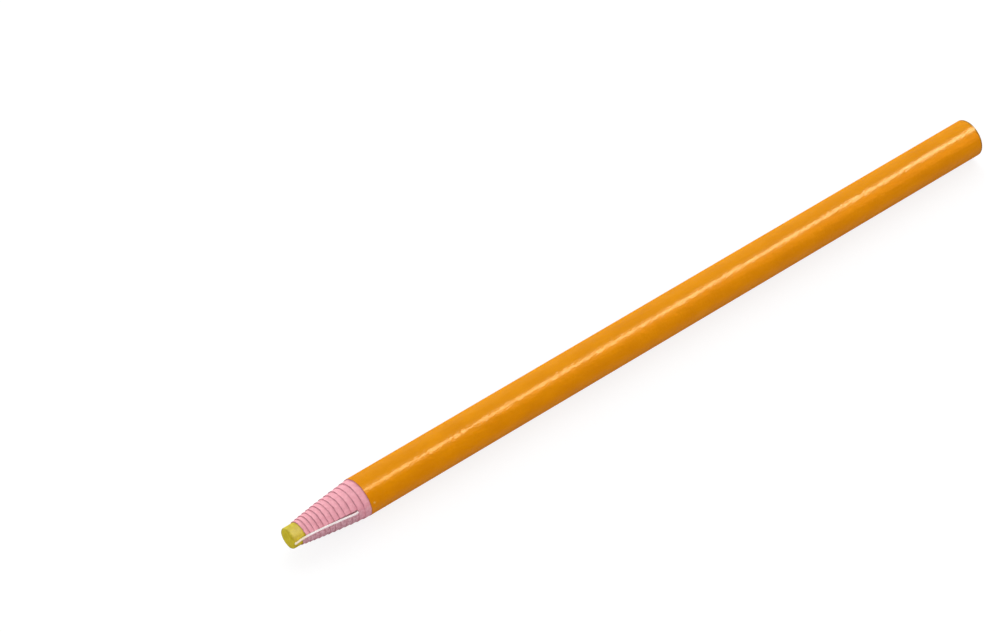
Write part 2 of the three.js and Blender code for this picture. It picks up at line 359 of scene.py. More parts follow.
# %% Lacquer: glossy nitrocellulose, dipped
lacquer, tree, where = new_material("dipped_gloss_lacquer", Roughness=0.24, IOR=1.5,
                                    Specular_Tint=(1.0, 0.8, 0.4, 1.0))
thin_edge = 0.22 * MM
rim_from, rim_to = rear_x - 0.5 * MM, rear_x - 0.1 * MM
long_axis = put(tree, "ShaderNodeMapping", {"Vector": where, "Scale": (0.5, 1, 1)})
tone = put(tree, NOISE, {"Vector": long_axis, "Scale": 1 / (3 * MM), "Detail": 2})
toned = put(tree, RANGE, {"Value": tone, "From Min": 0.3, "From Max": 0.7})
film = put(tree, MIX, {0: toned, 6: srgb("E79100"), 7: srgb("EF9900")}, data_type="RGBA").outputs[2]
edge_depth = put(tree, "ShaderNodeAttribute", attribute_name="edge_depth").outputs["Fac"]
thin = put(tree, RANGE, {"Value": edge_depth, "From Min": 0.0, "From Max": thin_edge,
                         "To Min": 0.7, "To Max": 0.0}, interpolation_type="SMOOTHSTEP")
edged = put(tree, MIX, {0: thin, 6: film, 7: srgb("B56A4A")}, data_type="RGBA").outputs[2]
ends = put(tree, "ShaderNodeSeparateXYZ", {0: where})
# Painted shade: the rounded rear rim is painted a dark olive.
rear_rim_shade = put(tree, RANGE, {"Value": ends, "From Min": rim_from, "From Max": rim_to,
                             "To Max": 0.75}, interpolation_type="SMOOTHSTEP")
rear_rim_shaded = put(tree, MIX, {0: rear_rim_shade, 6: edged, 7: srgb("80661F")}, data_type="RGBA").outputs[2]
print("nodes so far", len(tree.nodes))

# %% Lacquer: dust and the nick
dust_spacing = 6 * MM
dust = put(tree, "ShaderNodeTexVoronoi", {"Vector": where, "Scale": 1 / dust_spacing})
dust_specks = put(tree, RANGE, {"Value": dust, "From Min": 0.02, "From Max": 0.035,
                                "To Min": 0.6, "To Max": 0.0})
dusted = put(tree, MIX, {0: dust_specks, 6: rear_rim_shaded, 7: srgb("8C4E12")}, data_type="RGBA").outputs[2]
nick_at = tuple(place(17.0 * MM, barrel_radius, math.radians(71)))
nick_full, nick_gone, nick_ragged = 0.55 * MM, 0.8 * MM, 0.9 * MM
from_nick = put(tree, VECTOR, {0: where, 1: nick_at}, operation="DISTANCE").outputs["Value"]
ragged = put(tree, NOISE, {"Vector": where, "Scale": 1 / (0.35 * MM), "Detail": 2, "Roughness": 0.6})
nick_reach = put(tree, MATH, {0: ragged, 1: nick_ragged, 2: from_nick}, operation="MULTIPLY_ADD")
nick = put(tree, RANGE, {"Value": nick_reach, "From Min": nick_full, "From Max": nick_gone,
                         "To Min": 0.6, "To Max": 0.0}, interpolation_type="SMOOTHSTEP")
nicked = put(tree, MIX, {0: nick, 6: dusted, 7: srgb("F5CE6E")}, data_type="RGBA").outputs[2]
print("the nick is at", [round(value / MM, 1) for value in nick_at], "mm")

# %% Lacquer: waves and gloss
peel_share = 3.5
wave = put(tree, NOISE, {"Vector": long_axis, "Scale": 1 / (0.45 * MM), "Detail": 2, "Roughness": 0.6})
peel = put(tree, NOISE, {"Vector": where, "Scale": 1 / (1.1 * MM), "Detail": 2, "Roughness": 0.6})
swell = put(tree, MATH, {0: peel, 1: peel_share, 2: wave}, operation="MULTIPLY_ADD")
facing = put(tree, "ShaderNodeLayerWeight", {"Blend": 0.5}).outputs["Facing"]
gloss = put(tree, RANGE, {"Value": facing, "From Min": 0.35, "From Max": 0.72,
                          "To Min": 0.08, "To Max": 0.002}, interpolation_type="SMOOTHSTEP")
dress(lacquer, nicked, swell, strength=1.0, depth=0.025 * MM, gloss=gloss.outputs[0])

# %% [markdown]
# Thread
#
# The pull string is a white sewing thread of three plies. Single fibres would be lost at this size, and its
# shape gives the twist. So the material only adds the soft sheen of fine fibres, a warm white that isn't
# pure, and the yellow dust that the chalk leaves on its free end.

# %% Thread: spun polyester
thread, tree, where = new_material("spun_polyester_thread", Roughness=0.75, Sheen_Weight=0.5)
fuzz = put(tree, NOISE, {"Vector": where, "Scale": 1 / (0.07 * MM), "Detail": 3})
whites = put(tree, MIX, {0: fuzz, 6: srgb("FCF3EF"), 7: srgb("FFFFFF")}, data_type="RGBA").outputs[2]
chalk_dust = put(tree, "ShaderNodeAttribute", attribute_name="chalk_dust").outputs["Fac"]
chalky = put(tree, MIX, {0: chalk_dust, 6: whites, 7: srgb("EBDD84")}, data_type="RGBA").outputs[2]
dress(thread, chalky, fuzz, strength=0.3, depth=0.01 * MM)

# %% [markdown]
# Chalk stick
#
# A cylinder with a bevel would be the same all round. The stick is turned like a lathe part instead, ring
# by ring, so that each angle can have a section of its own. Its end is rounded over unevenly, as a worn end
# is, and the face has shallow dents. All of that goes inwards, so the stick never pushes into the paper.

# %% A round wall from sections
merge_distance = 1e-7
sharp_from = math.radians(38)


def turned_mesh(name, angles, section, material):
    """Join every angle's section, which is a list of (station, radius, depth), to the next angle's."""
    rings = bmesh.new()
    depth_layer = rings.verts.layers.float.new("edge_depth")
    columns = []
    for angle in angles:
        column = []
        for station, radius, depth in section(angle):
            corner = rings.verts.new(place(station, radius, angle))
            corner[depth_layer] = depth
            column.append(corner)
        columns.append(column)
    for column, following in zip(columns, columns[1:] + columns[:1]):
        for row in range(-1, len(column) - 1):
            rings.faces.new((column[row], column[row + 1], following[row + 1], following[row]))
    bmesh.ops.remove_doubles(rings, verts=rings.verts, dist=merge_distance)
    bmesh.ops.recalc_face_normals(rings, faces=rings.faces)
    mesh = bpy.data.meshes.new(name)
    rings.to_mesh(mesh)
    rings.free()
    mesh.materials.append(material)
    return finished(name, mesh)


def finished(name, mesh):
    """Shade a mesh smooth up to its sharp edges, and link it as an object of its own."""
    mesh.shade_smooth()
    mesh.set_sharp_from_angle(angle=sharp_from)
    mesh.name = name
    piece = bpy.data.objects.new(name, mesh)
    bpy.context.collection.objects.link(piece)
    print(name, len(mesh.polygons), "faces")
    return piece


# %% Chalk stick with its worn end
stick_segments = 144
rim_steps = 8
worn_at = math.radians(40)
rim_size, rim_lean, rim_wander = 0.30 * MM, 0.15 * MM, 0.05 * MM
rim_inset, dent_depth, wear_depth, rub_depth = 0.03 * MM, 0.035 * MM, 0.012 * MM, 0.02 * MM
circle = [full_turn * step / stick_segments for step in range(stick_segments)]


def chalk_section(angle):
    """From the middle of the worn end, over its rim, along the side and back to the middle at the rear."""
    around = Vector((math.sin(angle), math.cos(angle), 0))
    rim = rim_size + rim_lean * math.cos(angle - worn_at) + rim_wander * noise.noise(around * 2.1)
    points = []
    for share in (0, 0.15, 0.3, 0.45, 0.6, 0.72, 0.82, 0.9, 0.96):
        radius = share * (core_radius - rim)
        dent = dent_depth * (1 + noise.noise(Vector((radius * around.x, radius * around.y, 0)) / MM * 1.7))
        points.append((dent, radius, 0.0))
    for step in range(rim_steps + 1):
        turned = math.pi / 2 * step / rim_steps
        wear = wear_depth * (1 + noise.noise(around * 9 + Vector((0, 0, step * 0.4))))
        points.append((rim_inset + rim * (1 - math.cos(turned)) + wear,
                       core_radius - rim * (1 - math.sin(turned)) - wear, 0.0))
    for station in (0.7, 0.8, 0.9, 1.05, 1.2, 1.4, 1.6, 1.8, 2.0, 2.3, 2.7, 3.2, 4, 8, 30, 90, 150):
        rub = rub_depth * (1 + noise.noise(around * 4 + Vector((0, 0, station * 1.5)))) * (station < 3)
        points.append((station * MM, core_radius - rub, 0.0))
    points.append((pencil_length, core_radius, 0.0))
    points.append((pencil_length, core_radius * 0.5, 0.0))
    points.append((pencil_length, 0.0, 0.0))
    return points


chalk_stick = turned_mesh("chalk_stick", circle, chalk_section, chalk)

# %% [markdown]
# Wound paper
#
# The sheet could be rolled up as one long spiral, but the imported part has 13 turns, and each of them needs
# a piece that stands for it. All follow the same rule, so one Geometry Nodes tree makes any of them from a
# flat grid. One side of the grid becomes the way round and the other the way back from the cut edge. The
# tree bends the grid into its place, opens the slit, frays the cut edge, and then gives the sheet its
# thickness.

# %% Tree for one turn of paper: inputs
def named_tree(name, floats, others):
    """A Geometry Nodes tree with named inputs, and the sockets that give their values inside it."""
    tree = bpy.data.node_groups.new(name, "GeometryNodeTree")
    tree.interface.new_socket("Geometry", in_out="INPUT", socket_type="NodeSocketGeometry")
    for label in floats:
        tree.interface.new_socket(label, in_out="INPUT", socket_type="NodeSocketFloat")
    for label, kind in others.items():
        tree.interface.new_socket(label, in_out="INPUT", socket_type=kind)
    tree.interface.new_socket("Geometry", in_out="OUTPUT", socket_type="NodeSocketGeometry")
    return tree, tree.nodes.new("NodeGroupInput").outputs


def hand_out(tree, geometry, material):
    """End a tree: its geometry takes the material and leaves through the group output."""
    real = put(tree, "GeometryNodeRealizeInstances", {"Geometry": geometry})
    painted = put(tree, "GeometryNodeSetMaterial", {"Geometry": real, "Material": material})
    put(tree, "NodeGroupOutput", {"Geometry": painted})
    print(tree.name, "has", len(tree.nodes), "nodes")


turn_tree, size = named_tree(
    "wound_paper_turn",
    ["Turn", "Core radius", "Paper thickness", "Layer gap", "Edge setback", "Edge slope", "True thickness",
     "True core radius", "Seam angle", "Jog angle", "Span", "Length", "Start slit reach", "End slit reach",
     "Slit half width", "Seam half gap", "Tip X", "Axis height"],
    {"Paper": "NodeSocketMaterial"})
print(turn_tree.name, "has", len(turn_tree.interface.items_tree), "sockets")

# %% Tree for one turn of paper: the flat grid and its two ways
round_steps, back_steps = 168, 26
grid = put(turn_tree, "GeometryNodeMeshGrid", {"Size X": 1.0, "Size Y": 1.0, "Vertices X": round_steps + 1,
                                               "Vertices Y": back_steps + 1})
flat = put(turn_tree, "ShaderNodeSeparateXYZ", {0: put(turn_tree, "GeometryNodeInputPosition")})
way_round = put(turn_tree, MATH, {0: flat.outputs["X"], 1: 0.5}, operation="ADD")
way_back = put(turn_tree, MATH, {0: flat.outputs["Y"], 1: 0.5}, operation="ADD")
wound_share = put(turn_tree, MATH, {0: way_round, 1: size["Span"], 2: size["Turn"]},
                  operation="MULTIPLY_ADD")
wound = put(turn_tree, MATH, {0: wound_share, 1: 1.0}, operation="SUBTRACT")
print("nodes so far", len(turn_tree.nodes))

# %% Tree for one turn of paper: where the cut edge is, under each point and one turn further on
next_wound = put(turn_tree, MATH, {0: wound, 1: 1.0}, operation="ADD")
half_thickness = put(turn_tree, MATH, {0: size["True thickness"], 1: 0.5}, operation="MULTIPLY")
slope_round = put(turn_tree, MATH, {0: size["Edge slope"], 1: full_turn}, operation="MULTIPLY")
fronts = []
for turns in (wound, next_wound):
    square = put(turn_tree, MATH, {0: turns, 1: turns}, operation="MULTIPLY")
    on_core = put(turn_tree, MATH, {0: turns, 1: size["True core radius"]}, operation="MULTIPLY")
    wound_length = put(turn_tree, MATH, {0: square, 1: half_thickness, 2: on_core},
                       operation="MULTIPLY_ADD")
    fronts.append(put(turn_tree, MATH, {0: wound_length, 1: slope_round, 2: size["Edge setback"]},
                      operation="MULTIPLY_ADD"))
front, next_front = fronts
print("nodes so far", len(turn_tree.nodes))

# %% Tree for one turn of paper: how far back each point lies, with rows crowded towards the cut edge
row_crowding = 2.4
to_rear = put(turn_tree, MATH, {0: size["Length"], 1: front}, operation="SUBTRACT")
back_share = put(turn_tree, MATH, {0: way_back, 1: row_crowding}, operation="POWER")
depth = put(turn_tree, MATH, {0: to_rear, 1: back_share}, operation="MULTIPLY")
station = put(turn_tree, MATH, {0: front, 1: depth}, operation="ADD")
print("nodes so far", len(turn_tree.nodes))

# %% Tree for one turn of paper: the slit opens both ends of the turn, with torn edges
tear_length, tear_depth, tear_bias = 0.35 * MM, 0.16 * MM, 0.42
slit_taper, slit_past_reach = 0.12 * MM, 0.02 * MM
turn_seed, side_seed = 7.3, 3.0
torn_at = put(turn_tree, MATH, {0: station, 1: 1 / tear_length}, operation="MULTIPLY")
torn_seed = put(turn_tree, MATH, {0: size["Turn"], 1: turn_seed}, operation="MULTIPLY")
torn_point = put(turn_tree, "ShaderNodeCombineXYZ", {"X": torn_at, "Y": torn_seed})
layer = put(turn_tree, MATH, {0: size["Turn"], 1: size["Paper thickness"], 2: size["Core radius"]},
            operation="MULTIPLY_ADD")
open_angles = []
for side, reach in enumerate(("Start slit reach", "End slit reach")):
    torn = put(turn_tree, NOISE, {"Vector": torn_point, "Scale": 1.0, "Detail": 2,
                                  "W": side_seed * side}, noise_dimensions="4D")
    beyond = put(turn_tree, MATH, {0: station, 1: size[reach]}, operation="SUBTRACT")
    half = put(turn_tree, RANGE, {"Value": beyond, "From Min": -slit_taper, "From Max": slit_past_reach,
                                  "To Min": size["Slit half width"], "To Max": size["Seam half gap"]},
               interpolation_type="SMOOTHSTEP")
    tear = put(turn_tree, RANGE, {"Value": beyond, "From Min": -slit_taper, "From Max": 0.0,
                                  "To Min": tear_depth, "To Max": 0.0})
    torn_part = put(turn_tree, MATH, {0: torn, 1: tear_bias}, operation="SUBTRACT")
    torn_half = put(turn_tree, MATH, {0: torn_part, 1: tear, 2: half}, operation="MULTIPLY_ADD")
    open_angles.append(put(turn_tree, MATH, {0: torn_half, 1: layer}, operation="DIVIDE"))
open_start, open_end = open_angles
print("nodes so far", len(turn_tree.nodes))

# %% Tree for one turn of paper: angle and radius, with the climb over the turn's own start
full_round = put(turn_tree, MATH, {0: size["Span"], 1: full_turn}, operation="MULTIPLY")
last_angle = put(turn_tree, MATH, {0: full_round, 1: open_end}, operation="SUBTRACT")
along_round = put(turn_tree, RANGE, {"Value": way_round, "From Min": 0.0, "From Max": 1.0,
                                     "To Min": open_start, "To Max": last_angle})
angle = put(turn_tree, MATH, {0: along_round, 1: size["Seam angle"]}, operation="ADD")
jog_from = put(turn_tree, MATH, {0: full_turn, 1: size["Jog angle"]}, operation="SUBTRACT")
jog_to = full_turn - jog_rest
jog_lift = put(turn_tree, RANGE, {"Value": along_round, "From Min": jog_from, "From Max": jog_to},
               interpolation_type="SMOOTHSTEP")
layers_below = put(turn_tree, MATH, {0: size["Turn"], 1: jog_lift}, operation="ADD")
layers_under = put(turn_tree, MATH, {0: layers_below, 1: 1.0}, operation="SUBTRACT")
bare_radius = put(turn_tree, MATH, {0: layers_under, 1: size["Paper thickness"], 2: size["Core radius"]},
                  operation="MULTIPLY_ADD")
half_gap = put(turn_tree, MATH, {0: size["Layer gap"], 1: 0.5}, operation="MULTIPLY")
radius = put(turn_tree, MATH, {0: bare_radius, 1: half_gap}, operation="ADD")
print("nodes so far", len(turn_tree.nodes))

# %% Tree for one turn of paper: bend the grid into place, marked with what its material will read
sine = put(turn_tree, MATH, {0: angle}, operation="SINE")
cosine = put(turn_tree, MATH, {0: angle}, operation="COSINE")
sideways = put(turn_tree, MATH, {0: sine, 1: radius}, operation="MULTIPLY")
to_camera = put(turn_tree, MATH, {0: sideways, 1: -1.0}, operation="MULTIPLY")
upwards = put(turn_tree, MATH, {0: cosine, 1: radius, 2: size["Axis height"]}, operation="MULTIPLY_ADD")
along = put(turn_tree, MATH, {0: size["Tip X"], 1: station}, operation="ADD")
bent_point = put(turn_tree, "ShaderNodeCombineXYZ", {"X": along, "Y": to_camera, "Z": upwards})
from_seam = put(turn_tree, MATH, {0: along_round, 1: math.pi}, operation="SUBTRACT")
past_half = put(turn_tree, MATH, {0: from_seam, 1: 0.0}, operation="GREATER_THAN")
turned_back = put(turn_tree, MATH, {0: past_half, 1: -full_turn, 2: along_round}, operation="MULTIPLY_ADD")
round_distance = put(turn_tree, MATH, {0: turned_back, 1: layer}, operation="MULTIPLY")
before_next = put(turn_tree, MATH, {0: next_front, 1: station}, operation="SUBTRACT")
marked = grid
for mark, value in (("edge_depth", depth), ("slit_side", round_distance), ("next_edge", before_next)):
    marked = put(turn_tree, "GeometryNodeStoreNamedAttribute",
                 {"Geometry": marked, "Name": mark, "Value": value}, data_type="FLOAT")
bent = put(turn_tree, "GeometryNodeSetPosition", {"Geometry": marked, "Position": bent_point})
print("nodes so far", len(turn_tree.nodes))

# %% Tree for one turn of paper: fray and curl the cut edge
fray_reach, fray_depth, curl_height = 0.5 * MM, 0.16 * MM, 0.035 * MM
here = put(turn_tree, "GeometryNodeInputPosition")
stored_depth = put(turn_tree, "GeometryNodeInputNamedAttribute", {"Name": "edge_depth"}, data_type="FLOAT")
near_edge = put(turn_tree, RANGE, {"Value": stored_depth, "From Min": 0.0, "From Max": fray_reach,
                                   "To Min": 1.0, "To Max": 0.0}, interpolation_type="SMOOTHSTEP")
fray_noise = put(turn_tree, NOISE, {"Vector": here, "Scale": 1 / (0.7 * MM), "Detail": 3, "Roughness": 0.6,
                                    "W": torn_seed}, noise_dimensions="4D")
curl_noise = put(turn_tree, NOISE, {"Vector": here, "Scale": 1 / (2.6 * MM), "Detail": 1,
                                    "W": torn_seed}, noise_dimensions="4D")
fray_size = put(turn_tree, RANGE, {"Value": fray_noise, "From Min": 0.0, "From Max": 1.0,
                                   "To Min": -fray_depth, "To Max": fray_depth})
fray = put(turn_tree, MATH, {0: fray_size, 1: near_edge}, operation="MULTIPLY")
curl_size = put(turn_tree, RANGE, {"Value": curl_noise, "From Min": 0.35, "From Max": 0.75,
                                   "To Max": curl_height})
curl = put(turn_tree, MATH, {0: curl_size, 1: near_edge}, operation="MULTIPLY")
off_axis = put(turn_tree, VECTOR, {0: here, 1: (0.0, 1.0, 1.0)}, operation="MULTIPLY")
axis_point = put(turn_tree, "ShaderNodeCombineXYZ", {"Z": size["Axis height"]})
outwards = put(turn_tree, VECTOR, {0: off_axis, 1: axis_point}, operation="SUBTRACT")
radial = put(turn_tree, VECTOR, {0: outwards}, operation="NORMALIZE")
curled = put(turn_tree, VECTOR, {0: radial, "Scale": curl}, operation="SCALE")
frayed = put(turn_tree, "ShaderNodeCombineXYZ", {"X": fray})
moved = put(turn_tree, VECTOR, {0: curled, 1: frayed}, operation="ADD")
inner_skin = put(turn_tree, "GeometryNodeSetPosition", {"Geometry": bent, "Offset": moved})
print("nodes so far", len(turn_tree.nodes))

# %% Tree for one turn of paper: thickness, then one closed mesh that knows its way through
thick = put(turn_tree, MATH, {0: size["Paper thickness"], 1: size["Layer gap"]}, operation="SUBTRACT")
outer_way = put(turn_tree, VECTOR, {0: radial, "Scale": thick}, operation="SCALE")
walls = put(turn_tree, "GeometryNodeExtrudeMesh",
            {"Mesh": inner_skin, "Offset Scale": 0.0, "Individual": False}, mode="FACES")
outer_skin = put(turn_tree, "GeometryNodeSetPosition",
                 {"Geometry": walls, "Selection": walls.outputs["Top"], "Offset": outer_way})
with_through = put(turn_tree, "GeometryNodeStoreNamedAttribute",
                   {"Geometry": outer_skin, "Name": "through", "Value": walls.outputs["Top"]},
                   data_type="FLOAT")
turned_skin = put(turn_tree, "GeometryNodeFlipFaces", {"Mesh": inner_skin})
both_skins = put(turn_tree, "GeometryNodeJoinGeometry", {"Geometry": [with_through, turned_skin]})
closed = put(turn_tree, "GeometryNodeMergeByDistance", {"Geometry": both_skins, "Distance": merge_distance})
hand_out(turn_tree, closed, size["Paper"])


# %% Run a tree and keep its result as a plain mesh
def grown(name, tree, values, source):
    """Run a tree on a source object with the given inputs, and return the result as a finished piece."""
    bpy.context.collection.objects.link(source)
    modifier = source.modifiers.new(tree.name, "NODES")
    modifier.node_group = tree
    for item in tree.interface.items_tree:
        if item.in_out == "INPUT" and item.name in values:
            modifier[item.identifier] = values[item.name]
    bpy.context.view_layer.update()
    evaluated = source.evaluated_get(bpy.context.evaluated_depsgraph_get())
    mesh = bpy.data.meshes.new_from_object(evaluated)
    source.modifiers.remove(modifier)
    bpy.data.objects.remove(source)
    return finished(name, mesh)


# %% The slit's reach, and the 13 turns
slit_turns = 11
channel_turns = 4
slit_half_width = 0.18 * MM
seam_half_gap = 0.02 * MM
thread_radius = 0.2 * MM
root_setback, root_sink, slit_past_root = 0.4 * MM, 0.05 * MM, 1.2 * MM
root_station = edge_station(slit_turns) - root_setback
root_height = layer_radius(slit_turns) + thread_radius - root_sink
slit_rear = root_station + slit_past_root


def slit_reach(turn):
    """How far back the slit opens a turn: all the way beside the thread, none past the root."""
    if turn <= channel_turns:
        return 2 * pencil_length
    return slit_rear if turn <= slit_turns else -MM


paper_turns = []
for turn in range(1, turn_count + 1):
    name = f"wound_paper_turn_{turn:02d}"
    span = 1.0 if turn < turn_count else 1 - jog_angle / full_turn
    source = bpy.data.objects.new("flat_sheet", bpy.data.meshes.new("flat_sheet"))
    paper_turns.append(grown(name, turn_tree, {
        "Turn": float(turn), "Core radius": core_radius, "Paper thickness": paper_thickness,
        "Layer gap": layer_gap, "Edge setback": edge_setback, "Edge slope": edge_slope,
        "True thickness": paper_thickness / flat_share, "True core radius": core_radius / flat_share,
        "Seam angle": seam_angle, "Jog angle": jog_angle, "Span": span, "Length": pencil_length,
        "Start slit reach": slit_reach(turn), "End slit reach": slit_reach(turn + 1),
        "Slit half width": slit_half_width, "Seam half gap": seam_half_gap, "Tip X": tip_x,
        "Axis height": axis_height, "Paper": paper}, source))

# %% [markdown]
# Coat
#
# The lacquer is a film on the outermost turn. It could be a second colour on that turn, but it has an edge
# with a thickness, which shows where it was cut with the paper. So its front edge goes on along the same
# slant and steps back once, where the coated layer ends. It is turned like the chalk, with a slightly
# uneven front edge and a rounded rear rim.

# %% Lacquer coat
lap_angle = math.radians(220)
lap_ramp = math.radians(2)
coat_segments = 192
coat_inner = layer_radius(turn_count) + layer_gap / 2
coat_angles = [lap_angle + lap_ramp - full_turn + (full_turn - lap_ramp) * step / coat_segments
               for step in range(coat_segments + 1)]


def coat_section(angle):
    """Round the film's wall: its front edge, the glossy outside, the rear rim and the inside."""
    around = Vector((math.sin(angle), math.cos(angle), 0))
    uneven = 0.05 * MM * noise.noise(around * 6) + 0.03 * MM * noise.noise(around * 17)
    edge = edge_station(turn_count + (angle - seam_angle) / full_turn) + uneven
    film = barrel_radius - coat_inner
    points = [(edge, coat_inner, 0.0), (edge, coat_inner + 0.6 * film, 0.0),
              (edge + 0.02 * MM, barrel_radius - 0.1 * film, 0.02 * MM),
              (edge + 0.05 * MM, barrel_radius, 0.05 * MM)]
    for depth in (0.12, 0.25, 0.5, 1, 3, 8, 20, 40, 60, 80, 100, 120, 140, 150):
        points.append((edge + depth * MM, barrel_radius, depth * MM))
    for setback, drop in ((0.3, 0.0), (0.12, 0.05), (0.05, 0.2), (0.015, 0.5), (0.0, 0.8), (0.0, 1.0)):
        points.append((pencil_length - setback * MM, barrel_radius - drop * film, pencil_length - edge))
    return points


lacquer_coat = turned_mesh("lacquer_coat", coat_angles, coat_section, lacquer)

# %% [markdown]
# Pull string
#
# A round bar with a pattern on it would do from afar, but close up the twist shows on the outline. A thread
# is plies twisted round each other along a path, so a second tree makes that from any curve. It copies the
# path once for each ply, winds every copy into a helix, and gives it a round section. The plies reach
# 0.03 mm past the 0.2 mm radius of the solid, so that the thread looks as wide as the real one.

# %% Tree for a twisted thread
thread_tree, size = named_tree(
    "twisted_thread", ["Step", "Ply offset", "Ply radius", "Pitch", "Flare", "Chalk dust"],
    {"Plies": "NodeSocketInt", "Sides": "NodeSocketInt", "Thread": "NodeSocketMaterial",
     "Path": "NodeSocketObject"})
path = put(thread_tree, "GeometryNodeObjectInfo", {"Object": size["Path"]})
steps = put(thread_tree, "GeometryNodeResampleCurve",
            {"Curve": path.outputs["Geometry"], "Length": size["Step"]}, mode="LENGTH")
copies = put(thread_tree, "GeometryNodeDuplicateElements",
             {"Geometry": steps, "Amount": size["Plies"]}, domain="SPLINE")
parameter = put(thread_tree, "GeometryNodeSplineParameter")
length_share = parameter.outputs["Factor"]
ply_share = put(thread_tree, MATH, {0: copies.outputs["Duplicate Index"], 1: size["Plies"]},
                operation="DIVIDE")
turns_along = put(thread_tree, MATH, {0: parameter.outputs["Length"], 1: size["Pitch"]}, operation="DIVIDE")
ply_turns = put(thread_tree, MATH, {0: ply_share, 1: turns_along}, operation="ADD")
ply_angle = put(thread_tree, MATH, {0: ply_turns, 1: full_turn}, operation="MULTIPLY")
normal = put(thread_tree, "GeometryNodeInputNormal")
tangent = put(thread_tree, "GeometryNodeInputTangent")
across = put(thread_tree, VECTOR, {0: tangent, 1: normal}, operation="CROSS_PRODUCT")
flare_from, dust_from, dust_to = 0.97, 0.78, 0.88
flare = put(thread_tree, RANGE, {"Value": length_share, "From Min": flare_from, "From Max": 1.0,
                                 "To Min": 1.0, "To Max": size["Flare"]}, interpolation_type="SMOOTHSTEP")
ply_off = put(thread_tree, MATH, {0: flare, 1: size["Ply offset"]}, operation="MULTIPLY")
ply_cosine = put(thread_tree, MATH, {0: ply_angle}, operation="COSINE")
ply_sine = put(thread_tree, MATH, {0: ply_angle}, operation="SINE")
on_normal = put(thread_tree, VECTOR, {0: normal, "Scale": ply_cosine}, operation="SCALE")
on_across = put(thread_tree, VECTOR, {0: across, "Scale": ply_sine}, operation="SCALE")
direction = put(thread_tree, VECTOR, {0: on_normal, 1: on_across}, operation="ADD")
offset = put(thread_tree, VECTOR, {0: direction, "Scale": ply_off}, operation="SCALE")
helix = put(thread_tree, "GeometryNodeSetPosition", {"Geometry": copies, "Offset": offset})
section = put(thread_tree, "GeometryNodeCurvePrimitiveCircle",
              {"Resolution": size["Sides"], "Radius": size["Ply radius"]})
dust_share = put(thread_tree, RANGE, {"Value": length_share, "From Min": dust_from, "From Max": dust_to,
                                      "To Max": size["Chalk dust"]}, interpolation_type="SMOOTHSTEP")
dusty_helix = put(thread_tree, "GeometryNodeStoreNamedAttribute",
                  {"Geometry": helix, "Name": "chalk_dust", "Value": dust_share}, data_type="FLOAT")
plies = put(thread_tree, "GeometryNodeCurveToMesh",
            {"Curve": dusty_helix, "Profile Curve": section, "Fill Caps": True})
hand_out(thread_tree, plies, size["Thread"])


# %% A thread along places on the pencil
ply_count, ply_sides = 3, 7
ply_offset, ply_radius = 0.54 * thread_radius, 0.6 * thread_radius
twist_pitch = 1.1 * MM


def thread_piece(name, places, step, flare, dust):
    """A thread through a list of (station, radius, angle), with a flared end and chalk dust on it."""
    curve = bpy.data.curves.new("path", "CURVE")
    curve.dimensions = "3D"
    curve.twist_mode = "MINIMUM"
    spline = curve.splines.new("NURBS")
    spline.points.add(len(places) - 1)
    for point, (station, radius, angle) in zip(spline.points, places):
        point.co = (*place(station, radius, angle), 1.0)
    spline.use_endpoint_u = True
    spline.order_u = 3
    spline.resolution_u = 12
    path = bpy.data.objects.new("path", curve)
    bpy.context.collection.objects.link(path)
    source = bpy.data.objects.new("plies", bpy.data.meshes.new("plies"))
    piece = grown(name, thread_tree, {
        "Step": step, "Ply offset": ply_offset, "Ply radius": ply_radius, "Pitch": twist_pitch,
        "Flare": flare, "Chalk dust": dust, "Plies": ply_count, "Sides": ply_sides, "Thread": thread,
        "Path": path}, source)
    bpy.data.objects.remove(path)
    return piece


# %% The held thread, under the paper
held_gap, stub_depth, rear_inset = 0.05 * MM, 0.3 * MM, 0.08 * MM
held_count, held_spacing = 14, 11 * MM
held_height = core_radius + held_gap + thread_radius
stub_top = root_height - thread_radius - stub_depth
climb = stub_top - held_height
held_places = [(pencil_length - rear_inset, held_height, seam_angle)]
for step in range(1, held_count + 1):
    held_places.append((pencil_length - held_spacing * step, held_height, seam_angle))
for turned in range(0, 91, 15):
    turned = math.radians(turned)
    held_places.append((root_station + climb * (1 - math.sin(turned)),
                        held_height + climb * (1 - math.cos(turned)), seam_angle))
held_thread = thread_piece("held_thread", held_places, step=0.2 * MM, flare=1.0, dust=0.0)

# %% [markdown]
# The free end starts in the slit, comes out at the root, and lies on the front edges of the turns with a
# slight bow. Its last stretch lies on the chalk, and its very end is a little untwisted.

# %% The free end of the thread
tail_angles = (74, 72.6, 71.2, 70, 69, 68, 67.2, 66.8, 66.8, 67.4, 69)
tail_places = [(root_station + 0.45 * MM, root_height - 0.5 * MM, math.radians(73.5)),
               (root_station + 0.5 * MM, root_height - 0.1 * MM, math.radians(74))]
before_edge, resting_share = 0.45 * MM, 0.95
for turn, angle in zip(range(slit_turns, -1, -1), tail_angles):
    resting = layer_radius(turn) + resting_share * thread_radius
    tail_places.append((edge_station(turn) - before_edge, resting, math.radians(angle)))
tail_places.append((1.2 * MM, core_radius + thread_radius, math.radians(72.5)))
tail_places.append((0.12 * MM, core_radius + thread_radius, math.radians(76)))
thread_tail = thread_piece("thread_tail", tail_places, step=0.08 * MM, flare=1.25, dust=0.5)
